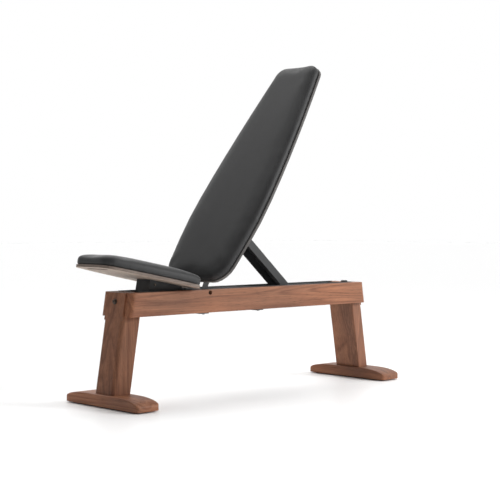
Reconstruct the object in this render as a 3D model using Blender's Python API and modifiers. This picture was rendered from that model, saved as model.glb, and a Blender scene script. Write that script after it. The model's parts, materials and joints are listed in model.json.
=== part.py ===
"""Adjustable weight bench: two timber rails on leaning legs, a reclining backrest and a tilting seat.

Units are metres, +Z is up, the floor is z = 0. The seat is at the -X end, and -Y is the sitter's left.
All lengths along the bench are measured from the middle of the beam, which stands at BEAM_X.
"""
import math

import bmesh
import bpy
from mathutils import Matrix, Vector

# Driving dimensions -----------------------------------------------------------------------------
BEAM_X = 0.0221                 # middle of the beam, so that the whole bench is centred on x = 0
GAP = 0.0003                    # between pieces that touch

RAIL_TOP = 0.378
RAIL_HEIGHT = 0.080
RAIL_THICK = 0.031
BEAM_HALF = 0.080               # half the width over both rails
RAIL_HALF_TOP = 0.570           # half the rail's length at its top edge
RAIL_CORNER = 0.016             # rounding of the outer vertical corners

LEG_LEAN = math.radians(9.3)    # legs lean towards the middle
LEG_FOOT_X = 0.5985             # leg axis at the top of the foot
LEG_DEPTH = 0.066
LEG_OUTER_HALF = 0.050          # half width of the outward face
LEG_INNER_HALF = 0.0610         # half width of the face towards the middle

FOOT_LENGTH = 0.394
FOOT_WIDTH = 0.095
FOOT_HEIGHT = 0.0385
FOOT_END_HEIGHT = 0.0145
FOOT_SHOULDER = 0.112           # length of the curved shoulder at each end
FOOT_CORNER = 0.012             # rounding of the foot's corners seen from above
FOOT_EDGE = 0.004               # rounding of its top edges
SOLE_THICK = 0.004
SOLE_HALF = (0.034, 0.176)

ANGLE_THICK = 0.002             # steel angles that line the slot between the rails
ANGLE_HALF = 0.505
FLANGE_HALF = 0.525
FLANGE_WIDTH = 0.011
ANGLE_LOW = 0.315

PIVOT = (-0.231, 0.3675)        # backrest axis, (x, z)
BACK_ANGLE = math.radians(55.3)
BACK_START = 0.030              # lower end of the backrest, from its axis
BACK_END = 0.985
BOARD_OFFSET = 0.0165           # back of the board, in front of the axis
BOARD_THICK = 0.009

SEAT_AXIS = (-0.297, 0.3665)
SEAT_ANGLE = math.radians(11.5)
SEAT_REAR = 0.004               # rear edge of the seat, behind its axis
SEAT_LENGTH = 0.409
SEAT_OFFSET = 0.018             # underside of the seat board above the axis

PAD_SEAM = 0.002                # rounding of a pad at its seam with the board
# Sections of a pad's rounded edge as (inset, height), then of its crown as (share of the outline, height)
BACK_EDGE = ((0.0, 0.0155), (0.0012, 0.0205), (0.0040, 0.0245), (0.0084, 0.0276),
             (0.0145, 0.0300), (0.0220, 0.0317))
BACK_CROWN = ((0.77, 0.0332), (0.62, 0.0346), (0.45, 0.0357), (0.25, 0.0364))
SEAT_EDGE = ((0.0, 0.020), (0.0010, 0.0240), (0.0036, 0.0276), (0.0076, 0.0304),
             (0.0130, 0.0328), (0.0190, 0.0346))
SEAT_CROWN = ((0.76, 0.0364), (0.60, 0.0386), (0.43, 0.0403), (0.24, 0.0413))

PROP_PIN = (0.282, -0.006)      # prop axis in the backrest's frame
PROP_ANGLE = math.radians(41.06)
PROP_LENGTH = 0.3898            # between the prop's two bars
PROP_HALF = 0.035
PROP_DEPTH = 0.030
PROP_WALL = 0.003
PROP_RATIO = 0.680              # change of the prop's slope for each degree of the backrest
FOOT_BAR_RADIUS = 0.005
RACK_ANGLES = (75, 65, 55.3, 45, 35, 25, 15)    # backrest angles with a notch, in degrees
RACK_BETWEEN = (82, 70, 60, 50, 40, 30, 20, 10, 5, 0, -6)

STAY_PIN = (-0.150, 0.004)      # seat stay axis in the seat's frame
STAY_ANGLE = math.radians(49.8)  # slope of the stay below the horizontal
STAY_LENGTH = 0.092
STAY_RADIUS = 0.0035

WALNUT = (0.20, 0.105, 0.062)
PLYWOOD = (0.52, 0.42, 0.33)
LEATHER = (0.048, 0.048, 0.052)
BLACK_STEEL = (0.022, 0.023, 0.025)
ZINC_STEEL = (0.42, 0.42, 0.43)
RUBBER = (0.02, 0.02, 0.02)
NYLON = (0.05, 0.05, 0.05)


# Scene and materials ----------------------------------------------------------------------------
def empty_scene():
    for old in list(bpy.data.objects):
        bpy.data.objects.remove(old, do_unlink=True)


def make_collection(name):
    group = bpy.data.collections.new(name)
    bpy.context.scene.collection.children.link(group)
    return group


def coat(obj, colour, roughness, metallic):
    """Give the object a material of its own."""
    material = bpy.data.materials.new(obj.name)
    material.use_nodes = True
    shader = material.node_tree.nodes["Principled BSDF"]
    shader.inputs["Base Color"].default_value = (*colour, 1.0)
    shader.inputs["Roughness"].default_value = roughness
    shader.inputs["Metallic"].default_value = metallic
    obj.data.materials.clear()
    obj.data.materials.append(material)


def walnut(obj):
    coat(obj, WALNUT, 0.50, 0.0)


def plywood(obj):
    coat(obj, PLYWOOD, 0.60, 0.0)


def leather(obj):
    coat(obj, LEATHER, 0.48, 0.0)


def black_steel(obj):
    coat(obj, BLACK_STEEL, 0.45, 0.6)


def zinc_steel(obj):
    coat(obj, ZINC_STEEL, 0.35, 1.0)


def rubber(obj):
    coat(obj, RUBBER, 0.80, 0.0)


def nylon(obj):
    coat(obj, NYLON, 0.55, 0.0)


# Shapes -----------------------------------------------------------------------------------------
def place(obj, parent, location=(0, 0, 0), rotation=(0, 0, 0), group=None):
    """Link an object, parent it to a frame empty and set its place in that frame."""
    (group or PARTS).objects.link(obj)
    obj.parent = parent
    obj.location = location
    obj.rotation_euler = rotation
    return obj


def frame_empty(name, parent, location, turn):
    """An empty on an axis along Y: turn lifts its +Z towards +X."""
    empty = bpy.data.objects.new(name, None)
    return place(empty, parent, location, (0, turn, 0))


def mesh_object(name, bm):
    mesh = bpy.data.meshes.new(name)
    bm.to_mesh(mesh)
    bm.free()
    return bpy.data.objects.new(name, mesh)


def box(name, low, high):
    """A block between two opposite corners."""
    bm = bmesh.new()
    size = Vector(high) - Vector(low)
    middle = (Vector(high) + Vector(low)) / 2
    bmesh.ops.create_cube(bm, size=1.0, matrix=Matrix.Translation(middle) @ Matrix.Diagonal((*size, 1.0)))
    return mesh_object(name, bm)


def cylinder(name, radius, length, sides=20):
    """A cylinder along Z, centred on its own origin."""
    bm = bmesh.new()
    bmesh.ops.create_cone(bm, cap_ends=True, segments=sides, radius1=radius, radius2=radius, depth=length)
    return mesh_object(name, bm)


def turned(name, profile, steps=20, closed=False):
    """Turn a profile of (radius, z) points, listed from top to bottom, about Z."""
    mesh = bpy.data.meshes.new(name)
    points = [(radius, 0.0, z) for radius, z in profile]
    edges = [(i, i + 1) for i in range(len(points) - 1)]
    if closed:
        edges.append((len(points) - 1, 0))
    mesh.from_pydata(points, edges, [])
    obj = bpy.data.objects.new(name, mesh)
    screw = obj.modifiers.new("turn", 'SCREW')
    screw.steps = steps
    screw.render_steps = steps
    screw.use_merge_vertices = True
    screw.merge_threshold = 0.00005
    return obj


def ring(name, outer, inner, length, steps=20):
    """A washer, bush or nut blank along Z with a hole through it."""
    half = length / 2
    return turned(name, [(inner, half), (outer, half), (outer, -half), (inner, -half)], steps, True)


def screw_profile(head_radius, head_height, shank_radius, shank_length):
    """Head above z = 0, shank below it."""
    return [(0, head_height), (head_radius * 0.8, head_height), (head_radius, head_height * 0.7),
            (head_radius, 0), (shank_radius, 0), (shank_radius, -shank_length), (0, -shank_length)]


def as_mesh(curve_object):
    """Replace a curve object by a mesh object with its caps welded."""
    PARTS.objects.link(curve_object)
    graph = bpy.context.evaluated_depsgraph_get()
    mesh = bpy.data.meshes.new_from_object(curve_object.evaluated_get(graph))
    bm = bmesh.new()
    bm.from_mesh(mesh)
    bmesh.ops.remove_doubles(bm, verts=bm.verts, dist=0.00001)
    bmesh.ops.recalc_face_normals(bm, faces=bm.faces)
    bm.to_mesh(mesh)
    bm.free()
    name = curve_object.name
    bpy.data.objects.remove(curve_object, do_unlink=True)
    return bpy.data.objects.new(name, mesh)


def loft(name, sections):
    """Skin a list of closed sections with the same number of (x, y, z) points each."""
    bm = bmesh.new()
    rings = [[bm.verts.new(point) for point in section] for section in sections]
    for ring_a, ring_b in zip(rings, rings[1:]):
        for i in range(len(ring_a)):
            bm.faces.new((ring_a[i - 1], ring_a[i], ring_b[i], ring_b[i - 1]))
    bm.faces.new(rings[0])
    bm.faces.new(rings[-1])
    bmesh.ops.recalc_face_normals(bm, faces=bm.faces)
    return mesh_object(name, bm)


def slab(name, outline, thickness):
    """A flat outline in the XY plane, half its thickness above and half below."""
    curve = bpy.data.curves.new(name, 'CURVE')
    curve.dimensions = '2D'
    curve.fill_mode = 'BOTH'
    curve.extrude = thickness / 2
    spline = curve.splines.new('POLY')
    spline.points.add(len(outline) - 1)
    for point, (x, y) in zip(spline.points, outline):
        point.co = (x, y, 0, 1)
    spline.use_cyclic_u = True
    return as_mesh(bpy.data.objects.new(name, curve))


def bent_rod(name, points, radius, resolution=3):
    """A round bar along a list of points, with filled caps."""
    curve = bpy.data.curves.new(name, 'CURVE')
    curve.dimensions = '3D'
    curve.bevel_depth = radius
    curve.bevel_resolution = resolution
    curve.use_fill_caps = True
    spline = curve.splines.new('POLY')
    spline.points.add(len(points) - 1)
    for point, place_xyz in zip(spline.points, points):
        point.co = (*place_xyz, 1)
    return as_mesh(bpy.data.objects.new(name, curve))


def arc(centre, radius, start, end, steps):
    """Points on an arc from start to end, in degrees."""
    turns = [math.radians(start + (end - start) * i / steps) for i in range(steps + 1)]
    return [(centre[0] + radius * math.cos(t), centre[1] + radius * math.sin(t)) for t in turns]


def corner_cut(distance, radius):
    """How much a rounded corner takes off the half width, at a distance from the end."""
    if distance >= radius:
        return 0.0
    return radius - math.sqrt(radius * radius - (radius - distance) ** 2)


def bevel(obj, width, segments=2, angle=40):
    modifier = obj.modifiers.new("bevel", 'BEVEL')
    modifier.width = width
    modifier.segments = segments
    modifier.limit_method = 'ANGLE'
    modifier.angle_limit = math.radians(angle)
    return modifier


def bevel_edges(obj, chosen, width, segments):
    """Round only the edges whose middle passes the test."""
    bm = bmesh.new()
    bm.from_mesh(obj.data)
    edges = [edge for edge in bm.edges if chosen((edge.verts[0].co + edge.verts[1].co) / 2, edge)]
    bmesh.ops.bevel(bm, geom=edges, offset=width, segments=segments, profile=0.5, affect='EDGES')
    bm.to_mesh(obj.data)
    bm.free()


def boolean(obj, tool, operation):
    modifier = obj.modifiers.new(operation.lower(), 'BOOLEAN')
    modifier.operation = operation
    modifier.solver = 'EXACT'
    modifier.object = tool


def hide_tool(tool, parent, location=(0, 0, 0), rotation=(0, 0, 0)):
    place(tool, parent, location, rotation, CUTTERS)
    tool.hide_render = True
    tool.display_type = 'WIRE'
    return tool


def drill(obj, parent, location, rotation, radius, length, sides=20):
    """Cut a round hole, centred on location along the rotated Z."""
    tool = hide_tool(cylinder(f"{obj.name}_drill", radius, length, sides), parent, location, rotation)
    boolean(obj, tool, 'DIFFERENCE')


def smooth(obj, angle=35):
    obj.data.shade_smooth()
    obj.data.set_sharp_from_angle(angle=math.radians(angle))


ALONG_Y = (math.radians(90), 0, 0)                  # turns Z to -Y, and an XY outline into the XZ plane
END_ON = (math.radians(90), 0, math.radians(90))    # an XY outline becomes a YZ one, extruded along X
SIDES = (("left", -1), ("right", 1))
ENDS = (("front", -1), ("rear", 1))


# Feet and legs ----------------------------------------------------------------------------------
FOOT_LOW = SOLE_THICK + GAP
FOOT_TOP = FOOT_LOW + FOOT_HEIGHT
RAIL_LOW = RAIL_TOP - RAIL_HEIGHT
SLOT_HALF = BEAM_HALF - RAIL_THICK
BOLT_HEIGHT = 0.342
FOOT_BOLT_Y = 0.030


def leg_x(z):
    """Distance of the leg's axis from the middle of the beam at height z."""
    return LEG_FOOT_X - math.tan(LEG_LEAN) * (z - FOOT_TOP)


def lean(obj, end):
    """Shear an upright block so that it follows the leg."""
    for vertex in obj.data.vertices:
        vertex.co.x += end * leg_x(vertex.co.z)


def foot_section(y):
    """Cross-section of a foot, with rounded top edges, at a distance y from its middle."""
    to_end = FOOT_LENGTH / 2 - abs(y)
    half = FOOT_WIDTH / 2 - corner_cut(to_end, FOOT_CORNER)
    height = FOOT_HEIGHT
    if to_end < FOOT_SHOULDER:
        rise = FOOT_HEIGHT - FOOT_END_HEIGHT
        height = FOOT_END_HEIGHT + rise * math.sqrt(1 - (1 - to_end / FOOT_SHOULDER) ** 2)
    right = [(half - FOOT_EDGE + x, height - FOOT_EDGE + z) for x, z in arc((0, 0), FOOT_EDGE, 0, 90, 2)]
    left = [(-x, z) for x, z in reversed(right)]
    return [(x, y, z) for x, z in [(half, 0), *right, *left, (-half, 0)]]


def make_foot(name, end):
    half = FOOT_LENGTH / 2
    corner = [half - FOOT_CORNER * (1 - math.cos(math.radians(22.5 * i))) for i in range(4)]
    shoulder = [half - FOOT_SHOULDER * t for t in (0.17, 0.30, 0.48, 0.72, 1.0)]
    stations = [*corner, *shoulder]
    foot = loft(f"{name}_foot", [foot_section(y) for y in stations + [-y for y in reversed(stations)]])
    place(foot, BENCH, (end * LEG_FOOT_X, 0, FOOT_LOW))
    for side_name, side in SIDES:
        place_bolt = (end * LEG_FOOT_X, side * FOOT_BOLT_Y, FOOT_LOW)
        drill(foot, BENCH, place_bolt, (0, 0, 0), 0.0043, 0.2, 12)
        drill(foot, BENCH, place_bolt, (0, 0, 0), 0.0085, 0.014, 16)
        bolt = turned(f"{name}_foot_bolt_{side_name}", screw_profile(0.0075, 0.005, 0.004, 0.072), 12)
        place(bolt, BENCH, (end * LEG_FOOT_X, side * FOOT_BOLT_Y, FOOT_LOW + 0.007 - GAP),
              (math.radians(180), 0, 0))
        zinc_steel(bolt)
    walnut(foot)


def make_sole(name, end):
    sole = box(f"{name}_sole", (-SOLE_HALF[0], -SOLE_HALF[1], 0), (SOLE_HALF[0], SOLE_HALF[1], SOLE_THICK))
    bevel_edges(sole, lambda middle, edge: abs(middle.z - SOLE_THICK / 2) < 0.0001, 0.010, 3)
    place(sole, BENCH, (end * LEG_FOOT_X, 0, 0))
    rubber(sole)


def make_leg(name, end):
    half = LEG_DEPTH / 2
    leg = box(f"{name}_leg", (-half, -LEG_OUTER_HALF, FOOT_TOP + GAP), (half, LEG_OUTER_HALF, RAIL_LOW - GAP))
    for vertex in leg.data.vertices:
        if vertex.co.x * end < 0:
            vertex.co.y *= LEG_INNER_HALF / LEG_OUTER_HALF
    bevel_edges(leg, lambda middle, edge: abs(middle.z - (FOOT_TOP + RAIL_LOW) / 2) < 0.001
                and middle.x * end > 0, 0.012, 4)
    bevel_edges(leg, lambda middle, edge: abs(middle.z - (FOOT_TOP + RAIL_LOW) / 2) < 0.001
                and middle.x * end < 0 and abs(middle.y) > LEG_OUTER_HALF, 0.004, 2)
    lean(leg, end)
    place(leg, BENCH)
    flush = half - GAP
    tenon = box(f"{name}_tenon", (-flush, -SLOT_HALF + GAP, RAIL_LOW - 0.012),
                (flush, SLOT_HALF - GAP, RAIL_TOP - GAP))
    lean(tenon, end)
    hide_tool(tenon, BENCH)
    boolean(leg, tenon, 'UNION')
    for side_name, side in SIDES:
        drill(leg, BENCH, (end * LEG_FOOT_X, side * FOOT_BOLT_Y, FOOT_TOP), (0, 0, 0), 0.0043, 0.090, 12)
    drill(leg, BENCH, (end * leg_x(BOLT_HEIGHT), 0, BOLT_HEIGHT), bolt_turn(end), 0.0043, 0.2, 12)
    walnut(leg)


# Bolts through the legs -------------------------------------------------------------------------
def bolt_turn(end):
    """Rotation that points Z out of the leg's outward face."""
    return (0, end * (math.radians(90) - LEG_LEAN), 0)


def along_bolt(end, distance):
    """A point on the leg bolt's axis, measured outwards from the middle of the leg."""
    return (end * (leg_x(BOLT_HEIGHT) + distance * math.cos(LEG_LEAN)), 0,
            BOLT_HEIGHT + distance * math.sin(LEG_LEAN))


def make_leg_bolt(name, end):
    face = LEG_DEPTH / 2 * math.cos(LEG_LEAN)
    washer = ring(f"{name}_leg_washer", 0.0095, 0.0043, 0.0016, 20)
    place(washer, BENCH, along_bolt(end, face + GAP + 0.0008), bolt_turn(end))
    zinc_steel(washer)
    plate = box(f"{name}_anchor_plate", (-0.002, -0.0462, ANGLE_LOW + 0.003), (0.002, 0.0462, 0.3760))
    for vertex in plate.data.vertices:
        vertex.co.x += end * (leg_x(vertex.co.z) - LEG_DEPTH / 2 - 0.002 - 2 * GAP)
    place(plate, BENCH)
    drill(plate, BENCH, along_bolt(end, -face), bolt_turn(end), 0.0043, 0.03, 12)
    black_steel(plate)
    bolt = turned(f"{name}_leg_bolt", screw_profile(0.0065, 0.006, 0.004, 0.080), 16)
    place(bolt, BENCH, along_bolt(end, face + 2 * GAP + 0.0016), bolt_turn(end))
    socket = hide_tool(cylinder(f"{name}_leg_bolt_socket", 0.0034, 0.008, 6), BENCH,
                       along_bolt(end, face + 0.0016 + 0.007), bolt_turn(end))
    boolean(bolt, socket, 'DIFFERENCE')
    zinc_steel(bolt)
    nut = cylinder(f"{name}_leg_nut", 0.0075, 0.0065, 6)
    nut_place = along_bolt(end, -face - 0.0050 - 3 * GAP - 0.0033)
    place(nut, BENCH, nut_place, bolt_turn(end))
    drill(nut, BENCH, nut_place, bolt_turn(end), 0.0043, 0.02, 12)
    zinc_steel(nut)


# Rails ------------------------------------------------------------------------------------------
STRAPS = (("front", -0.250), ("rear", 0.013))
STRAP_HALF = (0.020, 0.074)
STRAP_THICK = 0.003
STRAP_SCREW_Y = 0.0645
COUNTERBORE = 0.015             # depth of the pivot bolt's holes in the rails' outer faces


def make_rail(name, side):
    inner, outer = sorted((side * SLOT_HALF, side * BEAM_HALF))
    rail = box(f"rail_{name}", (-RAIL_HALF_TOP, inner, RAIL_LOW), (RAIL_HALF_TOP, outer, RAIL_TOP))
    for vertex in rail.data.vertices:
        if vertex.co.z < RAIL_TOP - 0.01:
            vertex.co.x += math.copysign(math.tan(LEG_LEAN) * RAIL_HEIGHT, vertex.co.x)
    bevel_edges(rail, lambda middle, edge: abs(middle.z - (RAIL_LOW + RAIL_TOP) / 2) < 0.001
                and abs(middle.y) > SLOT_HALF + 0.01, RAIL_CORNER, 4)
    bevel_edges(rail, lambda middle, edge: abs(middle.y) > BEAM_HALF - 0.0005
                and abs(edge.verts[0].co.z - edge.verts[1].co.z) < 0.0001, 0.003, 2)
    place(rail, BENCH)
    drill(rail, BENCH, (PIVOT[0], side * (SLOT_HALF + 0.01), PIVOT[1]), ALONG_Y, 0.0053, 0.08)
    drill(rail, BENCH, (PIVOT[0], side * BEAM_HALF, PIVOT[1]), ALONG_Y, 0.0078, 2 * COUNTERBORE)
    for _, x in STRAPS:
        drill(rail, BENCH, (x, side * STRAP_SCREW_Y, RAIL_LOW), (0, 0, 0), 0.0028, 0.056, 10)
    walnut(rail)


def make_strap(name, x):
    """Flat bar that ties the two rails together from below."""
    low = RAIL_LOW - GAP - STRAP_THICK
    strap = box(f"{name}_strap", (x - STRAP_HALF[0], -STRAP_HALF[1], low),
                (x + STRAP_HALF[0], STRAP_HALF[1], low + STRAP_THICK))
    bevel_edges(strap, lambda middle, edge: abs(middle.z - low - STRAP_THICK / 2) < 0.0001, 0.006, 2)
    place(strap, BENCH)
    for side_name, side in SIDES:
        drill(strap, BENCH, (x, side * STRAP_SCREW_Y, low), (0, 0, 0), 0.0028, 0.02, 10)
        screw = turned(f"{name}_strap_screw_{side_name}", screw_profile(0.005, 0.003, 0.0025, 0.026), 10)
        place(screw, BENCH, (x, side * STRAP_SCREW_Y, low - GAP), (math.radians(180), 0, 0))
        zinc_steel(screw)
    black_steel(strap)


def make_angle(name, side):
    """Steel angle: one leaf lines the slot, the other lies on the rail."""
    inner = SLOT_HALF - GAP - ANGLE_THICK
    outer = SLOT_HALF - GAP
    top = RAIL_TOP + GAP + ANGLE_THICK
    outline = [(inner, ANGLE_LOW), (outer, ANGLE_LOW), (outer, RAIL_TOP + GAP),
               (inner + FLANGE_WIDTH, RAIL_TOP + GAP), (inner + FLANGE_WIDTH, top), (inner, top)]
    outline = outline if side > 0 else [(-y, z) for y, z in reversed(outline)]
    angle = slab(f"rack_angle_{name}", outline, 2 * FLANGE_HALF)
    place(angle, BENCH, (0, 0, 0), END_ON)
    for end_name, end in ENDS:
        tool = box(f"rack_angle_{name}_{end_name}_trim", (-0.05, -0.06, ANGLE_LOW - 0.01),
                   (0.05, 0.06, RAIL_TOP + GAP / 2))
        boolean(angle, hide_tool(tool, BENCH, (end * (ANGLE_HALF + 0.05), 0, 0)), 'DIFFERENCE')
    drill(angle, BENCH, (PIVOT[0], side * SLOT_HALF, PIVOT[1]), ALONG_Y, 0.0053, 0.02)
    drill(angle, BENCH, (SEAT_AXIS[0], side * SLOT_HALF, SEAT_AXIS[1]), ALONG_Y, 0.0043, 0.02)
    black_steel(angle)


# Backrest rack ----------------------------------------------------------------------------------
NOTCH_THICK = 0.004
NOTCH_OUTER = SLOT_HALF - GAP - ANGLE_THICK - 0.0005
NOTCH_LOW = ANGLE_LOW + 0.0005
NOTCH_DEPTH = 0.005
NOTCH_HALF = 0.0065
BAR_CLEARANCE = 0.0010


def foot_bar_place(back_angle):
    """Centre (x, z) of the prop's foot bar with the backrest at an angle, in degrees."""
    back = math.radians(back_angle)
    slope = PROP_ANGLE + PROP_RATIO * (back - BACK_ANGLE)
    pin_x = PIVOT[0] + PROP_PIN[0] * math.cos(back) - PROP_PIN[1] * math.sin(back)
    pin_z = PIVOT[1] + PROP_PIN[0] * math.sin(back) + PROP_PIN[1] * math.cos(back)
    return pin_x + PROP_LENGTH * math.cos(slope), pin_z - PROP_LENGTH * math.sin(slope)


def make_notch_plate(name, side):
    """Rack whose teeth follow the foot bar's path, with one notch for each backrest angle."""
    drop = FOOT_BAR_RADIUS + BAR_CLEARANCE
    top = []
    for angle in sorted([*RACK_ANGLES, *RACK_BETWEEN], reverse=True):
        x, z = foot_bar_place(angle)
        z = z - drop
        if angle in RACK_ANGLES:
            top += [(x - NOTCH_HALF, z), (x - NOTCH_HALF / 2, z - NOTCH_DEPTH),
                    (x + NOTCH_HALF / 2, z - NOTCH_DEPTH), (x + NOTCH_HALF, z)]
        else:
            top.append((x, z))
    outline = [(top[0][0], NOTCH_LOW - 0.006), (top[-1][0], NOTCH_LOW - 0.006), *reversed(top)]
    plate = slab(f"notch_plate_{name}", outline, NOTCH_THICK)
    place(plate, BENCH, (0, side * (NOTCH_OUTER - NOTCH_THICK / 2), 0), ALONG_Y)
    black_steel(plate)


# Pivot and bumper -------------------------------------------------------------------------------
def make_pivot():
    reach = BEAM_HALF - COUNTERBORE
    bolt = turned("pivot_bolt", screw_profile(0.0070, 0.005, 0.005, 2 * reach - 0.001), 20)
    place(bolt, BENCH, (PIVOT[0], -reach - GAP, PIVOT[1]), ALONG_Y)
    socket = hide_tool(cylinder("pivot_bolt_socket", 0.0036, 0.006, 6), BENCH,
                       (PIVOT[0], -reach - 0.005, PIVOT[1]), ALONG_Y)
    boolean(bolt, socket, 'DIFFERENCE')
    zinc_steel(bolt)
    nut = ring("pivot_nut", 0.0072, 0.0053, 0.006, 20)
    place(nut, BENCH, (PIVOT[0], reach + GAP + 0.003, PIVOT[1]), ALONG_Y)
    zinc_steel(nut)
    low = CHEEK_OUTER + GAP
    high = SLOT_HALF - GAP - ANGLE_THICK - GAP
    for name, side in SIDES:
        bush = ring(f"pivot_bush_{name}", 0.010, 0.0053, high - low, 20)
        place(bush, BENCH, (PIVOT[0], side * (low + high) / 2, PIVOT[1]), ALONG_Y)
        nylon(bush)


def make_bumper():
    top = BOARD_OFFSET + PIVOT[1] - RAIL_TOP - 2 * GAP
    bumper = turned("rear_bumper", [(0, top), (0.010, top), (0.0135, top * 0.55), (0.014, 0), (0, 0)], 24)
    place(bumper, BENCH, (0.545, 0, RAIL_TOP))
    rubber(bumper)


# Backrest ---------------------------------------------------------------------------------------
BACK_HALF = 0.181               # half the backrest's widest width
BACK_WIDEST = 0.300             # how far up it is widest
BACK_LOW_CORNER = 0.062
BACK_TOP_CORNER = 0.040
CHEEK_INNER = 0.0390
CHEEK_OUTER = 0.0420


def back_half_width(s):
    if s > BACK_WIDEST:
        half = BACK_HALF - 0.065 * ((s - BACK_WIDEST) / 0.6) ** 1.55
    else:
        half = BACK_HALF - 0.017 * ((BACK_WIDEST - s) / 0.2) ** 1.5
    return half - corner_cut(s - BACK_START, BACK_LOW_CORNER) - corner_cut(BACK_END - s, BACK_TOP_CORNER)


def seat_half_width(x):
    t = (SEAT_REAR - x) / SEAT_LENGTH
    half = 0.122 - 0.029 * t + 0.052 * t * (1 - t)
    return half - corner_cut(SEAT_REAR - x, 0.050) - corner_cut(x - SEAT_REAR + SEAT_LENGTH, 0.036)


def pad_outline(start, end, low_corner, high_corner, half_width, inset=0.0):
    """A closed outline, denser at its rounded corners."""
    def corner(radius):
        return [radius * (1 - math.cos(math.radians(90) * i / 5)) for i in range(6)]
    stations = [start + d for d in corner(low_corner)]
    middle = 9
    first, last = start + low_corner, end - high_corner
    stations += [first + (last - first) * i / middle for i in range(1, middle)]
    stations += [end - d for d in reversed(corner(high_corner))]
    rim = [(x, half_width(x) - inset) for x in stations]
    return [(x, -y) for x, y in rim] + [(x, y) for x, y in reversed(rim)]


def inset_outline(outline, distance):
    """Move every corner of an anticlockwise outline inwards."""
    moved = []
    for i, (x, y) in enumerate(outline):
        before = (Vector((x, y)) - Vector(outline[i - 1])).normalized()
        after = (Vector(outline[(i + 1) % len(outline)]) - Vector((x, y))).normalized()
        inward = Vector((-before.y - after.y, before.x + after.x)).normalized()
        spread = max(0.5, inward.dot(Vector((-after.y, after.x))))
        moved.append((x + inward.x * distance / spread, y + inward.y * distance / spread))
    return moved


def cushion(name, outline, edge, crown):
    """A pad with a softly rounded edge and a raised middle, its underside at z = 0."""
    rings = [(PAD_SEAM, 0.0), (0.0, PAD_SEAM), *edge]
    sections = [[(x, y, z) for x, y in inset_outline(outline, inset)] for inset, z in rings]
    middle = sum(x for x, _ in outline) / len(outline)
    for share, height in crown:
        sections.append([(middle + (x - middle) * share, y * share, height) for x, y in outline])
    pad = loft(name, sections)
    smooth(pad, 50)
    leather(pad)
    return pad


def make_backrest():
    outline = pad_outline(BACK_START, BACK_END, BACK_LOW_CORNER, BACK_TOP_CORNER, back_half_width)
    board = slab("backrest_board", outline, BOARD_THICK)
    place(board, BACK, (0, 0, BOARD_OFFSET + BOARD_THICK / 2))
    for name, side in SIDES:
        for x in HINGE_SCREWS:
            drill(board, BACK, (x, side * HINGE_SCREW_Y, BOARD_OFFSET), (0, 0, 0), 0.0023, 0.015, 10)
    for along in BRACKET_SCREWS:
        drill(board, BACK, (PROP_PIN[0] + along, 0, BOARD_OFFSET), (0, 0, 0), 0.0023, 0.015, 10)
    plywood(board)
    pad = cushion("backrest_cushion", outline, BACK_EDGE, BACK_CROWN)
    place(pad, BACK, (0, 0, BOARD_OFFSET + BOARD_THICK + GAP))


HINGE_SCREWS = (0.062, 0.116)
HINGE_SCREW_Y = 0.025
BRACKET_SCREWS = (-0.030, 0.030)
LEAF_TOP = BOARD_OFFSET - GAP
LEAF_LOW = LEAF_TOP - 0.003


def board_screw(name, parent, x, y, leaf_low):
    """Pan-head screw from below, through a steel leaf into the board."""
    screw = turned(name, screw_profile(0.0042, 0.0025, 0.0020, 0.0105), 10)
    place(screw, parent, (x, y, leaf_low - GAP), (math.radians(180), 0, 0))
    zinc_steel(screw)


def make_hinge(name, side):
    """Backrest hinge: a leaf under the board and a cheek down to the pivot bolt."""
    cheek_outline = [(0.050, LEAF_TOP), (0.036, LEAF_TOP), *arc((0, 0), 0.0125, 120, 285, 8),
                     (0.110, LEAF_LOW - 0.006),
                     (0.134, LEAF_LOW), (0.134, LEAF_TOP)]
    hinge = slab(f"backrest_hinge_{name}", cheek_outline, CHEEK_OUTER - CHEEK_INNER)
    place(hinge, BACK, (0, side * (CHEEK_INNER + CHEEK_OUTER) / 2, 0), ALONG_Y)
    low, high = sorted((side * 0.010, side * (CHEEK_OUTER - 0.001)))
    leaf = hide_tool(box(f"backrest_leaf_{name}", (0.040, low, LEAF_LOW), (0.134, high, LEAF_TOP)), BACK)
    boolean(hinge, leaf, 'UNION')
    drill(hinge, BACK, (0, side * CHEEK_OUTER, 0), ALONG_Y, 0.0053, 0.02)
    for number, x in enumerate(HINGE_SCREWS, 1):
        drill(hinge, BACK, (x, side * HINGE_SCREW_Y, LEAF_LOW), (0, 0, 0), 0.0023, 0.012, 10)
        board_screw(f"hinge_screw_{name}_{number}", BACK, x, side * HINGE_SCREW_Y, LEAF_LOW)
    black_steel(hinge)


# Prop -------------------------------------------------------------------------------------------
EAR_INNER = 0.0370
EAR_OUTER = 0.0400


def make_prop_bracket():
    """Plate under the board with two ears that carry the prop's pin."""
    x, z = PROP_PIN
    bracket = box("prop_bracket", (x - 0.038, -0.0450, LEAF_LOW), (x + 0.038, 0.0450, LEAF_TOP))
    place(bracket, BACK)
    outline = [(x - 0.018, LEAF_LOW + 0.001), *arc((x, z), 0.009, 180, 360, 8), (x + 0.018, LEAF_LOW + 0.001)]
    for name, side in SIDES:
        ear = slab(f"prop_bracket_ear_{name}", outline, EAR_OUTER - EAR_INNER)
        hide_tool(ear, BACK, (0, side * (EAR_INNER + EAR_OUTER) / 2, 0), ALONG_Y)
        boolean(bracket, ear, 'UNION')
    drill(bracket, BACK, (x, 0, z), ALONG_Y, 0.0053, 0.12, 16)
    for number, along in enumerate(BRACKET_SCREWS, 1):
        drill(bracket, BACK, (x + along, 0, LEAF_LOW), (0, 0, 0), 0.0023, 0.012, 10)
        board_screw(f"bracket_screw_{number}", BACK, x + along, 0, LEAF_LOW)
    black_steel(bracket)
    pin = cylinder("prop_pin", 0.005, 0.090, 16)
    place(pin, BACK, (x, 0, z), ALONG_Y)
    zinc_steel(pin)


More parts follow.
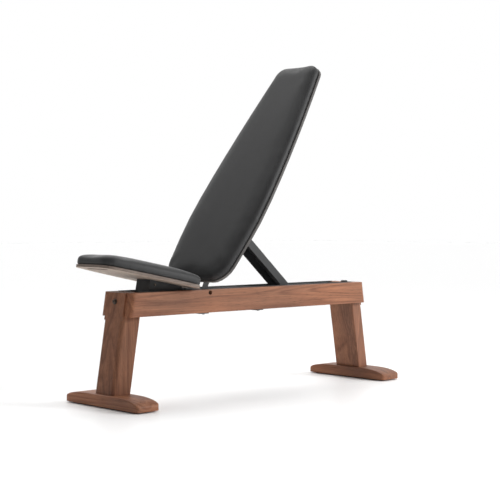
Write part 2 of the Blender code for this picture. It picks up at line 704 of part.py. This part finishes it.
def channel_outline(half, depth, wall):
    """U section, its web at the top."""
    low, high = -depth / 2, depth / 2
    return [(-half, low), (-half + wall, low), (-half + wall, high - wall), (half - wall, high - wall),
            (half - wall, low), (half, low), (half, high), (-half, high)]


def make_prop():
    start, end = -0.009, PROP_LENGTH + 0.009
    prop = slab("backrest_prop", channel_outline(PROP_HALF, PROP_DEPTH, PROP_WALL), end - start)
    place(prop, PROP, ((start + end) / 2, 0, 0), END_ON)
    bevel_edges(prop, lambda middle, edge: abs(middle.x) > PROP_HALF - 0.0001
                and abs(middle.y - PROP_DEPTH / 2) < 0.0001, 0.004, 2)
    drill(prop, PROP, (0, 0, 0), ALONG_Y, 0.0053, 0.1, 16)
    drill(prop, PROP, (PROP_LENGTH, 0, 0), ALONG_Y, FOOT_BAR_RADIUS + GAP, 0.1, 16)
    black_steel(prop)
    bar = cylinder("prop_foot_bar", FOOT_BAR_RADIUS, 0.0900, 16)
    place(bar, PROP, (PROP_LENGTH, 0, 0), ALONG_Y)
    zinc_steel(bar)


# Seat -------------------------------------------------------------------------------------------
CARRIER_FRONT = -0.171
CARRIER_HALF = 0.037
CARRIER_THICK = 0.0025
CARRIER_LOW = -0.030
CARRIER_WEB_END = -0.032
CARRIER_SCREWS = (-0.125, -0.060)
SLOT_X = -0.368
SLOT_REACH = (0.008, 0.055)     # half width along x and half length along y


def make_seat():
    front = SEAT_REAR - SEAT_LENGTH
    outline = pad_outline(front, SEAT_REAR, 0.036, 0.050, seat_half_width)
    board = slab("seat_board", outline, BOARD_THICK)
    place(board, SEAT, (0, 0, SEAT_OFFSET + BOARD_THICK / 2))
    straight = SLOT_REACH[1] - SLOT_REACH[0]
    slot = slab("seat_board_slot", arc((0, straight), SLOT_REACH[0], 0, 180, 6)
                + arc((0, -straight), SLOT_REACH[0], 180, 360, 6), 0.03)
    hide_tool(slot, SEAT, (SLOT_X, 0, SEAT_OFFSET))
    boolean(board, slot, 'DIFFERENCE')
    for x in CARRIER_SCREWS:
        drill(board, SEAT, (x, 0, SEAT_OFFSET), (0, 0, 0), 0.0023, 0.015, 10)
    plywood(board)
    pad = cushion("seat_cushion", outline, SEAT_EDGE, SEAT_CROWN)
    place(pad, SEAT, (0, 0, SEAT_OFFSET + BOARD_THICK + GAP))


def make_carrier():
    """Folded steel box under the seat that drops into the slot between the rails."""
    top = SEAT_OFFSET - GAP
    carrier = box("seat_carrier", (CARRIER_FRONT, -CARRIER_HALF, top - CARRIER_THICK),
                  (CARRIER_WEB_END, CARRIER_HALF, top))
    place(carrier, SEAT)
    front = hide_tool(box("seat_carrier_front", (CARRIER_FRONT, -CARRIER_HALF, CARRIER_LOW),
                          (CARRIER_FRONT + CARRIER_THICK, CARRIER_HALF, top)), SEAT)
    boolean(carrier, front, 'UNION')
    outline = [(CARRIER_FRONT, top), (CARRIER_FRONT, CARRIER_LOW), (CARRIER_FRONT + 0.075, CARRIER_LOW),
               (-0.045, -0.011), *arc((0, 0), 0.010, 250, 450, 8), (CARRIER_WEB_END + 0.003, 0.010),
               (CARRIER_WEB_END, top)]
    for name, side in SIDES:
        cheek = slab(f"seat_carrier_cheek_{name}", outline, CARRIER_THICK)
        hide_tool(cheek, SEAT, (0, side * (CARRIER_HALF - CARRIER_THICK / 2), 0), ALONG_Y)
        boolean(carrier, cheek, 'UNION')
    drill(carrier, SEAT, (0, 0, 0), ALONG_Y, 0.0043, 0.1, 16)
    drill(carrier, SEAT, (STAY_PIN[0], 0, STAY_PIN[1]), ALONG_Y, STAY_RADIUS + 0.0004, 0.1, 12)
    for number, x in enumerate(CARRIER_SCREWS, 1):
        drill(carrier, SEAT, (x, 0, top), (0, 0, 0), 0.0023, 0.012, 10)
        board_screw(f"carrier_screw_{number}", SEAT, x, 0, top - CARRIER_THICK)
    black_steel(carrier)


def make_seat_hinge():
    pin = cylinder("seat_hinge_pin", 0.004, 2 * (SLOT_HALF - 2 * GAP), 16)
    place(pin, BENCH, (SEAT_AXIS[0], 0, SEAT_AXIS[1]), ALONG_Y)
    zinc_steel(pin)
    low = CARRIER_HALF + GAP
    high = SLOT_HALF - GAP - ANGLE_THICK - GAP
    for name, side in SIDES:
        bush = ring(f"seat_bush_{name}", 0.0075, 0.0043, high - low, 16)
        place(bush, BENCH, (SEAT_AXIS[0], side * (low + high) / 2, SEAT_AXIS[1]), ALONG_Y)
        nylon(bush)


def make_stay():
    """Bent rod that stands under the raised seat; its ends turn out through the carrier's cheeks."""
    reach, arm, bend = CARRIER_HALF + 0.003, 0.0295, 0.006
    half = [(0, reach), (0, arm + bend), *[(bend - bend * math.cos(t), arm + bend - bend * math.sin(t))
            for t in [math.radians(30 * i) for i in range(1, 4)]]]
    half += [(STAY_LENGTH - bend + bend * math.sin(t), arm - bend + bend * math.cos(t))
             for t in [math.radians(30 * i) for i in range(4)]]
    path = [(x, y, 0) for x, y in half] + [(x, -y, 0) for x, y in reversed(half)]
    stay = bent_rod("seat_stay", path, STAY_RADIUS)
    place(stay, STAY)
    zinc_steel(stay)


def make_seat_rack():
    """Cross plate between the angles with a stepped rib for the stay."""
    half = SLOT_HALF - GAP - ANGLE_THICK - 0.0005
    base_top = ANGLE_LOW + 0.0030
    rack = box("seat_rack", (-0.420, -half, ANGLE_LOW), (-0.342, half, base_top))
    place(rack, BENCH)
    top = 0.3250
    notches = [(-0.3640, 0.004), (-0.3835, 0.004), (-0.3945, 0.004)]
    outline = [(-0.342, ANGLE_LOW + 0.001), (-0.342, top - 0.003)]
    for x, depth in notches:
        outline += [(x + 0.0045, top), (x + 0.002, top - depth), (x - 0.002, top - depth), (x - 0.0045, top)]
    outline += [(-0.415, top), (-0.420, ANGLE_LOW + 0.001)]
    rib = slab("seat_rack_rib", outline, 0.008)
    hide_tool(rib, BENCH, (0, 0, 0), ALONG_Y)
    boolean(rack, rib, 'UNION')
    black_steel(rack)


# Assembly ---------------------------------------------------------------------------------------
empty_scene()
PARTS = make_collection("weight_bench")
CUTTERS = make_collection("cutters")
BENCH = place(bpy.data.objects.new("bench_middle", None), None, (BEAM_X, 0, 0))
BACK = frame_empty("backrest_axis", BENCH, (PIVOT[0], 0, PIVOT[1]), -BACK_ANGLE)
PROP = frame_empty("prop_axis", BACK, (PROP_PIN[0], 0, PROP_PIN[1]), BACK_ANGLE + PROP_ANGLE)
SEAT = frame_empty("seat_axis", BENCH, (SEAT_AXIS[0], 0, SEAT_AXIS[1]), SEAT_ANGLE)
STAY = frame_empty("stay_axis", SEAT, (STAY_PIN[0], 0, STAY_PIN[1]), STAY_ANGLE - SEAT_ANGLE)

for end_name, end_sign in ENDS:
    make_foot(end_name, end_sign)
    make_sole(end_name, end_sign)
    make_leg(end_name, end_sign)
    make_leg_bolt(end_name, end_sign)
for side_name, side_sign in SIDES:
    make_rail(side_name, side_sign)
    make_angle(side_name, side_sign)
    make_notch_plate(side_name, side_sign)
    make_hinge(side_name, side_sign)
for strap_name, strap_x in STRAPS:
    make_strap(strap_name, strap_x)
make_pivot()
make_bumper()
make_backrest()
make_prop_bracket()
make_prop()
make_seat()
make_carrier()
make_seat_hinge()
make_stay()
make_seat_rack()
bpy.context.view_layer.update()
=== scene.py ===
"""Looks for the adjustable weight bench: walnut, plywood, smooth padded leather and coated steel."""
import json
import math

import bmesh
import bpy
import numpy as np
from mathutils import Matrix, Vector


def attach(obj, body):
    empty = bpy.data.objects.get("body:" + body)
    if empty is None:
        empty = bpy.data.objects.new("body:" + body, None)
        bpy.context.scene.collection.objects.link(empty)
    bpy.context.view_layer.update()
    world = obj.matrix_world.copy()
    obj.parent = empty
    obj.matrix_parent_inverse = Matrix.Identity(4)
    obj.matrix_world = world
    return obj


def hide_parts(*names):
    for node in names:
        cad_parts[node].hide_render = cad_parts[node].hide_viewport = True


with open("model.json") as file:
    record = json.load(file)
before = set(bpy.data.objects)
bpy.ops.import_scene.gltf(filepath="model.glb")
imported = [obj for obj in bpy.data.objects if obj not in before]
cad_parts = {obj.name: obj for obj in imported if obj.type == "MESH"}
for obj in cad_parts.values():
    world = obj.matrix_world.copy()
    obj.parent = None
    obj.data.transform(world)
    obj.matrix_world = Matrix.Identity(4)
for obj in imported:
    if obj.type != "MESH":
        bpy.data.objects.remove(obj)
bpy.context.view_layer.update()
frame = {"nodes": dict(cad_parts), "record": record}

# Camera: its place in metres, its angles in radians, its lens and sensor in millimetres
CAMERA_AT = (-3.0135, -3.2495, 0.6043)
CAMERA_YAW = 0.75685
CAMERA_DOWN = 0.021083
CAMERA_LENS = 87.9
CAMERA_SENSOR = 36.0

# Studio: lengths in metres, powers in watts or, for the sun, in watts per square metre
FLOOR_REACH = 30.0
WORLD_DARK = 0.21                # strength on the dark side, where the bright side has 1
WORLD_TURN = 0.35                # how far the bright side is turned past the camera's line, in radians
WORLD_FADE = (-0.5, 0.75)        # where the fade starts and ends, as cosines from the bright side
KEY_AT = (2.2, -3.0, 1.9)
KEY_TARGET = (0.0, 0.0, 0.35)
KEY_SIZE = (1.6, 1.2)
KEY_POWER = 105.0
SUN_POWER = 1.6
SUN_WIDTH = 50.0                 # in degrees
SUN_DIRECTION = (-0.15, -0.45, -1.0)

# Walnut: colours across one growth ring, then each piece's grain axis, place in the wood and tone
RING_STOPS = ((0.0, (0.228, 0.092, 0.049)), (0.30, (0.285, 0.119, 0.063)),
              (0.75, (0.345, 0.151, 0.081)), (1.0, (0.236, 0.096, 0.051)))
WALNUT_PIECES = {"rail_left": (0, (0.3, 0.12, 0.0), 0.95),
                 "rail_right": (0, (1.7, 0.92, 0.4), 0.95),
                 # painted shade: the front leg's low tone of 0.82 darkens its walnut to stand in for the
                 # shade on its faces
                 "front_leg": (2, (0.9, 0.31, 2.3), 0.82),
                 "rear_leg": (2, (2.2, 1.63, 0.8), 0.95),
                 "front_foot": (1, (1.1, 0.2, 1.4), 1.03),
                 "rear_foot": (1, (3.1, 2.2, 0.5), 1.0)}

# Plywood: light and dark fibres of each board, and the painted shade that darkens the upright edges
BOARD_TONES = {"seat_board": ((0.50, 0.405, 0.335), (0.30, 0.232, 0.186)),
               "backrest_board": ((0.19, 0.18, 0.172), (0.12, 0.113, 0.107))}
BOARD_PLACE = (0.4, 0.1, 0.0)
# painted shade: the colour that multiplies the upright edges, standing in for the shade on them, partly
# their own darker end grain
EDGE_PAINTED_SHADE = (0.42, 0.40, 0.40)

# Cushions, in metres
VOXEL = 0.006
SWELL_CAP = 0.005                # no point of a pad moves further than this when it is inflated
HELD_HEIGHT = 0.004              # the part of a pad that is held while it is inflated, above its board
CLOTH_FRAMES = 20
SWELL_EVENING = 24               # rounds of averaging that take the cloth's creases out of the swell
SEAM_GAP = 0.0005                # between a pad's underside and its board
TUCK_HEIGHT = 0.008              # the pad's side pulls in towards its seam below this height,
TUCK_DEPTH = 0.0042              # by this much at the seam
FACING_UP = 0.3                  # the side of a board that carries a pad has a normal with more Z than this


# Node helpers -----------------------------------------------------------------------------------
class Shader:
    """A material's node tree with short calls for the nodes used here."""

    def __init__(self, name):
        self.material = bpy.data.materials.new(name)
        self.material.use_nodes = True
        self.tree = self.material.node_tree
        self.principled = self.tree.nodes["Principled BSDF"]
        self.place = self.node("ShaderNodeTexCoord").outputs["Object"]

    def node(self, kind, **inputs):
        made = self.tree.nodes.new(kind)
        for key, value in inputs.items():
            self.put(made.inputs[key], value)
        return made

    def put(self, socket, value):
        if isinstance(value, bpy.types.NodeSocket):
            self.tree.links.new(value, socket)
        else:
            socket.default_value = value

    def mapped(self, scale, location=(0, 0, 0)):
        mapping = self.node("ShaderNodeMapping", Vector=self.place, Scale=scale, Location=location)
        return mapping.outputs["Vector"]

    def noise(self, vector, scale, detail, roughness=0.5, distortion=0.0):
        made = self.node("ShaderNodeTexNoise", Vector=vector, Scale=scale, Detail=detail,
                         Roughness=roughness, Distortion=distortion)
        return made.outputs["Fac"]

    def ramp(self, fac, stops):
        made = self.node("ShaderNodeValToRGB", Fac=fac)
        elements = made.color_ramp.elements
        while len(elements) < len(stops):
            elements.new(0.5)
        for element, (position, colour) in zip(elements, stops):
            element.position = position
            element.color = (*colour, 1.0)
        return made.outputs["Color"]

    def span(self, value, low, high, to_low, to_high):
        made = self.node("ShaderNodeMapRange")
        self.put(made.inputs["Value"], value)
        for key, number in (("From Min", low), ("From Max", high), ("To Min", to_low), ("To Max", to_high)):
            made.inputs[key].default_value = number
        return made.outputs["Result"]

    def math(self, operation, a, b=0.0):
        made = self.node("ShaderNodeMath")
        made.operation = operation
        self.put(made.inputs[0], a)
        self.put(made.inputs[1], b)
        return made.outputs["Value"]

    def mix(self, mode, fac, a, b):
        made = self.node("ShaderNodeMix")
        made.data_type = 'RGBA'
        made.blend_type = mode
        self.put(made.inputs["Factor"], fac)
        colours = {socket.name: socket for socket in made.inputs if socket.type == 'RGBA'}
        self.put(colours["A"], a)
        self.put(colours["B"], b)
        return next(socket for socket in made.outputs if socket.type == 'RGBA')

    def bump(self, height, strength, distance):
        made = self.node("ShaderNodeBump", Height=height, Strength=strength, Distance=distance)
        self.tree.links.new(made.outputs["Normal"], self.principled.inputs["Normal"])

    def set(self, **inputs):
        for key, value in inputs.items():
            self.put(self.principled.inputs[key.replace("_", " ")], value)


def grey(value):
    return (value, value, value)


def stretched(axis, scale):
    """A texture scale with its own value along one axis: 0, 1 or 2."""
    scales = [1.0, 1.0, 1.0]
    scales[axis] = scale
    return scales


# Materials --------------------------------------------------------------------------------------
def walnut(name, axis, offset, tone):
    """Oiled walnut with the grain running along an axis: 0, 1 or 2."""
    s = Shader(f"walnut_{name}")
    cathedral = s.noise(s.mapped(stretched(axis, 0.055), offset), 9.0, 2.0, 0.45, 0.9)
    rings = s.math('FRACT', s.math('MULTIPLY', cathedral, 13.0))
    fibres = s.noise(s.mapped(stretched(axis, 0.018), offset), 320.0, 4.0, 0.65)
    pores = s.noise(s.mapped(stretched(axis, 0.05), offset), 620.0, 2.0)
    clouds = s.noise(s.mapped(stretched(axis, 0.30), offset), 9.0, 3.0)
    base = s.ramp(rings, [(stop, [tone * c for c in colour]) for stop, colour in RING_STOPS])
    streak = s.ramp(fibres, [(0.30, grey(0.62)), (0.52, grey(0.97)), (0.72, (1.18, 1.13, 1.08))])
    base = s.mix('MULTIPLY', 0.85, base, streak)
    patch = s.ramp(clouds, [(0.34, (0.72, 0.76, 0.82)), (0.64, (1.14, 1.10, 1.05))])
    base = s.mix('MULTIPLY', 0.9, base, patch)
    pit = s.ramp(pores, [(0.34, grey(0.45)), (0.42, grey(1.0))])
    base = s.mix('MULTIPLY', 0.55, base, pit)
    s.set(Base_Color=base, Roughness=s.span(fibres, 0.3, 0.7, 0.56, 0.42), Specular_IOR_Level=0.26)
    pit_height = s.span(pores, 0.34, 0.44, 0.0, 1.0)
    height = s.math('ADD', s.math('MULTIPLY', fibres, 0.6), s.math('MULTIPLY', pit_height, 0.5))
    s.bump(height, 0.35, 0.0004)
    return s.material


def plywood(name, light, dark):
    """Plywood with its fibres along the bench and plain upright edges darkened by painted shade, partly
    their own darker end grain.
    """
    s = Shader(f"plywood_{name}")
    fibres = s.noise(s.mapped(stretched(0, 0.03), BOARD_PLACE), 260.0, 4.0, 0.6)
    clouds = s.noise(s.mapped(stretched(0, 0.4), BOARD_PLACE), 9.0, 2.0)
    base = s.ramp(fibres, [(0.28, dark), (0.70, light)])
    base = s.mix('MULTIPLY', 0.8, base, s.ramp(clouds, [(0.3, grey(0.82)), (0.7, grey(1.10))]))
    # painted shade: faces that stand upright, found from the normal, are darkened by the edge shade colour
    normal = s.node("ShaderNodeSeparateXYZ", Vector=s.node("ShaderNodeTexCoord").outputs["Normal"])
    level = s.math('ABSOLUTE', normal.outputs["Z"])
    base = s.mix('MULTIPLY', s.span(level, 0.25, 0.50, 1.0, 0.0), base, (*EDGE_PAINTED_SHADE, 1.0))
    s.set(Base_Color=base, Roughness=s.span(fibres, 0.3, 0.7, 0.70, 0.56))
    s.bump(fibres, 0.25, 0.0003)
    return s.material


def leather():
    """Smooth charcoal leather with a fine pebbled grain, its grooves darkened by painted shade."""
    s = Shader("leather_charcoal")
    cells = s.node("ShaderNodeTexVoronoi", Vector=s.place, Scale=640.0, Randomness=1.0)
    cells.feature = 'DISTANCE_TO_EDGE'
    pebble = s.span(cells.outputs["Distance"], 0.0, 0.22, 0.0, 1.0)
    fine = s.noise(s.place, 1500.0, 2.0)
    cloud = s.noise(s.place, 14.0, 4.0, 0.6)
    base = s.ramp(cloud, [(0.30, (0.0350, 0.0350, 0.0358)), (0.70, (0.0450, 0.0450, 0.0458))])
    # painted shade: the pebble's grooves, where the cells meet, are darkened
    base = s.mix('MULTIPLY', 0.5, base, s.ramp(pebble, [(0.0, grey(0.62)), (0.5, grey(1.0))]))
    rough = s.math('ADD', s.span(cloud, 0.3, 0.7, 0.45, 0.52), s.math('MULTIPLY', fine, 0.06))
    s.set(Base_Color=base, Roughness=rough, Specular_IOR_Level=0.22, Sheen_Weight=0.44,
          Sheen_Roughness=0.24)
    s.bump(s.math('ADD', pebble, s.math('MULTIPLY', fine, 0.4)), 0.22, 0.0003)
    return s.material


def coated_steel():
    """Black powder coat with a fine orange peel."""
    s = Shader("powder_coated_steel")
    peel = s.noise(s.place, 700.0, 2.0, 0.55)
    worn = s.noise(s.place, 26.0, 5.0, 0.6)
    base = s.ramp(worn, [(0.30, (0.0175, 0.0180, 0.0185)), (0.72, (0.0260, 0.0266, 0.0275))])
    s.set(Base_Color=base, Roughness=s.span(worn, 0.3, 0.7, 0.44, 0.56), Specular_IOR_Level=0.42)
    s.bump(peel, 0.22, 0.0002)
    return s.material


def zinc():
    """Zinc-plated steel with fine turning marks and a cloudy tarnish."""
    s = Shader("zinc_plated_steel")
    cloud = s.noise(s.place, 160.0, 4.0, 0.6)
    marks = s.noise(s.mapped(stretched(1, 0.06)), 1800.0, 2.0)
    base = s.ramp(cloud, [(0.3, (0.36, 0.36, 0.37)), (0.7, (0.52, 0.52, 0.51))])
    s.set(Base_Color=base, Metallic=1.0, Roughness=s.span(cloud, 0.3, 0.7, 0.26, 0.40))
    s.bump(marks, 0.12, 0.0001)
    return s.material


def black_oxide():
    """Black oxide with a brown cast, for the fasteners in the wood and the seat's stay."""
    s = Shader("black_oxide_steel")
    cloud = s.noise(s.place, 180.0, 4.0, 0.6)
    base = s.ramp(cloud, [(0.3, (0.085, 0.068, 0.055)), (0.7, (0.150, 0.122, 0.100))])
    s.set(Base_Color=base, Metallic=0.8, Roughness=s.span(cloud, 0.3, 0.7, 0.34, 0.50))
    s.bump(cloud, 0.15, 0.0001)
    return s.material


def soft_black(name, colour, roughness):
    """Moulded rubber or nylon."""
    s = Shader(name)
    grain = s.noise(s.place, 900.0, 3.0, 0.6)
    cloud = s.noise(s.place, 40.0, 3.0)
    base = s.ramp(cloud, [(0.3, [c * 0.8 for c in colour]), (0.7, [c * 1.25 for c in colour])])
    s.set(Base_Color=base, Roughness=s.span(grain, 0.3, 0.7, roughness - 0.06, roughness + 0.06))
    s.bump(grain, 0.2, 0.0002)
    return s.material


def is_blackened(name):
    """The pivot's bolt and nut, the seat's stay, and the leg bolts with their washers and nuts."""
    return name in ("pivot_bolt", "pivot_nut", "seat_stay") or name.startswith(("front_leg_", "rear_leg_"))


def paint_nodes():
    """Give every carried-over CAD piece its material."""
    blackened = black_oxide()
    nylon = soft_black("moulded_nylon", (0.040, 0.040, 0.042), 0.55)
    by_class = {"painted_metal": coated_steel(), "brushed_steel": zinc(),
                "rubber": soft_black("moulded_rubber", (0.018, 0.018, 0.018), 0.80)}
    classes = {material["slot"]: material["class"] for material in frame["record"]["materials"]}
    for name, obj in frame["nodes"].items():
        if name in WALNUT_PIECES:
            chosen = walnut(name, *WALNUT_PIECES[name])
        elif is_blackened(name):
            chosen = blackened
        elif name in BOARD_TONES:
            chosen = plywood(name, *BOARD_TONES[name])
        else:
            chosen = by_class.get(classes[name], nylon)
        obj.data.materials.clear()
        obj.data.materials.append(chosen)


# Cushions ---------------------------------------------------------------------------------------
def evaluated_mesh(obj):
    graph = bpy.context.evaluated_depsgraph_get()
    return bpy.data.meshes.new_from_object(obj.evaluated_get(graph))


def apply_all(obj):
    mesh = evaluated_mesh(obj)
    obj.modifiers.clear()
    obj.data = mesh


def add_smoothing(obj, rounds):
    relax = obj.modifiers.new("relax", 'SMOOTH')
    relax.factor = 0.5
    relax.iterations = rounds


def board_plane(node):
    """The normal and the level of a board's pad side, from its own vertices."""
    bm = bmesh.new()
    bm.from_mesh(frame["nodes"][node].data)
    face = max(bm.faces, key=lambda f: f.calc_area() if f.normal.z > FACING_UP else 0.0)
    normal = face.normal.copy()
    level = normal.dot(face.verts[0].co)
    bm.free()
    return normal, level


def inflate(obj, normal, level):
    """How far each vertex moves when the pad is blown up with its underside held."""
    rest = [vertex.co.copy() for vertex in obj.data.vertices]
    held = obj.vertex_groups.new(name="held")
    for vertex in obj.data.vertices:
        if normal.dot(vertex.co) - level < HELD_HEIGHT:
            held.add([vertex.index], 1.0, 'REPLACE')
    cloth = obj.modifiers.new("swell", 'CLOTH')
    settings = cloth.settings
    settings.quality = 5
    settings.mass = 0.4
    settings.tension_stiffness = 25.0
    settings.compression_stiffness = 25.0
    settings.shear_stiffness = 10.0
    settings.bending_stiffness = 6.0
    settings.use_pressure = True
    settings.uniform_pressure_force = 4.0
    settings.vertex_group_mass = "held"
    settings.effector_weights.gravity = 0.0
    cloth.collision_settings.use_collision = False
    cloth.point_cache.frame_start = 1
    cloth.point_cache.frame_end = CLOTH_FRAMES
    scene = bpy.context.scene
    for number in range(1, CLOTH_FRAMES + 1):
        scene.frame_set(number)
    swollen = evaluated_mesh(obj)
    obj.modifiers.clear()
    scene.frame_set(1)
    moves = np.array([end.co - start for start, end in zip(rest, swollen.vertices)])
    bpy.data.meshes.remove(swollen)
    return moves


def evened(moves, mesh):
    """Average each vertex's move with those of its neighbours, several times over."""
    pairs = np.array([edge.vertices[:] for edge in mesh.edges])
    count = np.bincount(pairs.ravel(), minlength=len(moves))[:, None]
    for _ in range(SWELL_EVENING):
        total = np.zeros_like(moves)
        np.add.at(total, pairs[:, 0], moves[pairs[:, 1]])
        np.add.at(total, pairs[:, 1], moves[pairs[:, 0]])
        moves = 0.5 * moves + 0.5 * total / count
    return moves


def swell(obj, normal, level):
    """Inflate the remeshed pad by no more than the cap, without creases."""
    moves = inflate(obj, normal, level)
    length = np.linalg.norm(moves, axis=1, keepdims=True)
    moves *= np.minimum(1.0, SWELL_CAP / np.maximum(length, 1e-9))
    for vertex, move in zip(obj.data.vertices, evened(moves, obj.data)):
        vertex.co += Vector(move)


def lay_on_board(obj, normal, level):
    """Flatten the pad's underside just above its board, and pull its side in at the seam."""
    for vertex in obj.data.vertices:
        height = normal.dot(vertex.co) - level - SEAM_GAP
        if height < 0:
            vertex.co -= normal * height
        outward = vertex.normal - normal * vertex.normal.dot(normal)
        share = min(1.0, max(0.0, 1.0 - height / TUCK_HEIGHT))
        vertex.co -= outward * (TUCK_DEPTH * share ** 2)


def make_pad(name, node, board, body, material):
    """A crowned leather pad in the place of its plain solid."""
    pad = bpy.data.objects.new(name, frame["nodes"][node].data.copy())
    bpy.context.scene.collection.objects.link(pad)
    remesh = pad.modifiers.new("remesh", 'REMESH')
    remesh.mode = 'VOXEL'
    remesh.voxel_size = VOXEL
    apply_all(pad)
    add_smoothing(pad, 6)
    wrap = pad.modifiers.new("wrap", 'SHRINKWRAP')
    wrap.target = frame["nodes"][node]
    wrap.wrap_method = 'NEAREST_SURFACEPOINT'
    apply_all(pad)
    normal, level = board_plane(board)
    swell(pad, normal, level)
    lay_on_board(pad, normal, level)
    add_smoothing(pad, 2)
    subdivision = pad.modifiers.new("smooth", 'SUBSURF')
    subdivision.levels = 1
    subdivision.render_levels = 1
    apply_all(pad)
    pad.data.shade_smooth()
    pad.data.materials.clear()
    pad.data.materials.append(material)
    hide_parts(node)
    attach(pad, body)


# Studio -----------------------------------------------------------------------------------------
def make_floor():
    mesh = bpy.data.meshes.new("studio_floor")
    corners = [(FLOOR_REACH * x, FLOOR_REACH * y, 0) for x, y in ((-1, -1), (1, -1), (1, 1), (-1, 1))]
    mesh.from_pydata(corners, [], [(0, 1, 2, 3)])
    floor = bpy.data.objects.new("studio_floor", mesh)
    bpy.context.scene.collection.objects.link(floor)
    s = Shader("studio_floor")
    s.set(Base_Color=(*grey(0.985), 1.0), Roughness=0.36, Specular_IOR_Level=0.09)
    mesh.materials.append(s.material)


def add_aimed(name, data, direction, location=(0, 0, 0)):
    """Put a light or a camera into the scene, looking along a direction."""
    obj = bpy.data.objects.new(name, data)
    obj.location = location
    obj.rotation_mode = 'QUATERNION'
    obj.rotation_quaternion = direction.to_track_quat('-Z', 'Y')
    bpy.context.scene.collection.objects.link(obj)
    return obj


def make_key_light():
    data = bpy.data.lights.new("key", 'AREA')
    data.shape = 'RECTANGLE'
    data.size, data.size_y = KEY_SIZE
    data.energy = KEY_POWER
    add_aimed("key", data, Vector(KEY_TARGET) - Vector(KEY_AT), KEY_AT)


def make_sun():
    data = bpy.data.lights.new("overhead", 'SUN')
    data.energy = SUN_POWER
    data.angle = math.radians(SUN_WIDTH)
    add_aimed("overhead", data, Vector(SUN_DIRECTION))


def make_world():
    """A soft studio: white behind the bench, fading to grey behind the camera."""
    world = bpy.data.worlds.new("studio")
    bpy.context.scene.world = world
    world.use_nodes = True
    nodes, links = world.node_tree.nodes, world.node_tree.links
    place = nodes.new("ShaderNodeTexCoord")
    side = nodes.new("ShaderNodeVectorMath")
    side.operation = 'DOT_PRODUCT'
    bright = CAMERA_YAW + WORLD_TURN
    side.inputs[1].default_value = (math.sin(bright), math.cos(bright), 0.0)
    fade = nodes.new("ShaderNodeMapRange")
    fade.interpolation_type = 'SMOOTHSTEP'
    fade.inputs["From Min"].default_value, fade.inputs["From Max"].default_value = WORLD_FADE
    fade.inputs["To Min"].default_value = WORLD_DARK
    fade.inputs["To Max"].default_value = 1.0
    links.new(place.outputs["Generated"], side.inputs[0])
    links.new(side.outputs["Value"], fade.inputs["Value"])
    links.new(fade.outputs["Result"], nodes["Background"].inputs["Strength"])
    nodes["Background"].inputs["Color"].default_value = (1.0, 1.0, 1.0, 1.0)


def make_camera():
    data = bpy.data.cameras.new("camera")
    data.lens = CAMERA_LENS
    data.sensor_width = CAMERA_SENSOR
    flat = math.cos(CAMERA_DOWN)
    forward = Vector((math.sin(CAMERA_YAW) * flat, math.cos(CAMERA_YAW) * flat, -math.sin(CAMERA_DOWN)))
    bpy.context.scene.camera = add_aimed("camera", data, forward, CAMERA_AT)


bpy.context.scene.view_settings.view_transform = 'Standard'
make_camera()
make_world()
make_floor()
make_key_light()
make_sun()
paint_nodes()
charcoal = leather()
make_pad("backrest_pad", "backrest_cushion", "backrest_board", "backrest", charcoal)
make_pad("seat_pad", "seat_cushion", "seat_board", "seat", charcoal)
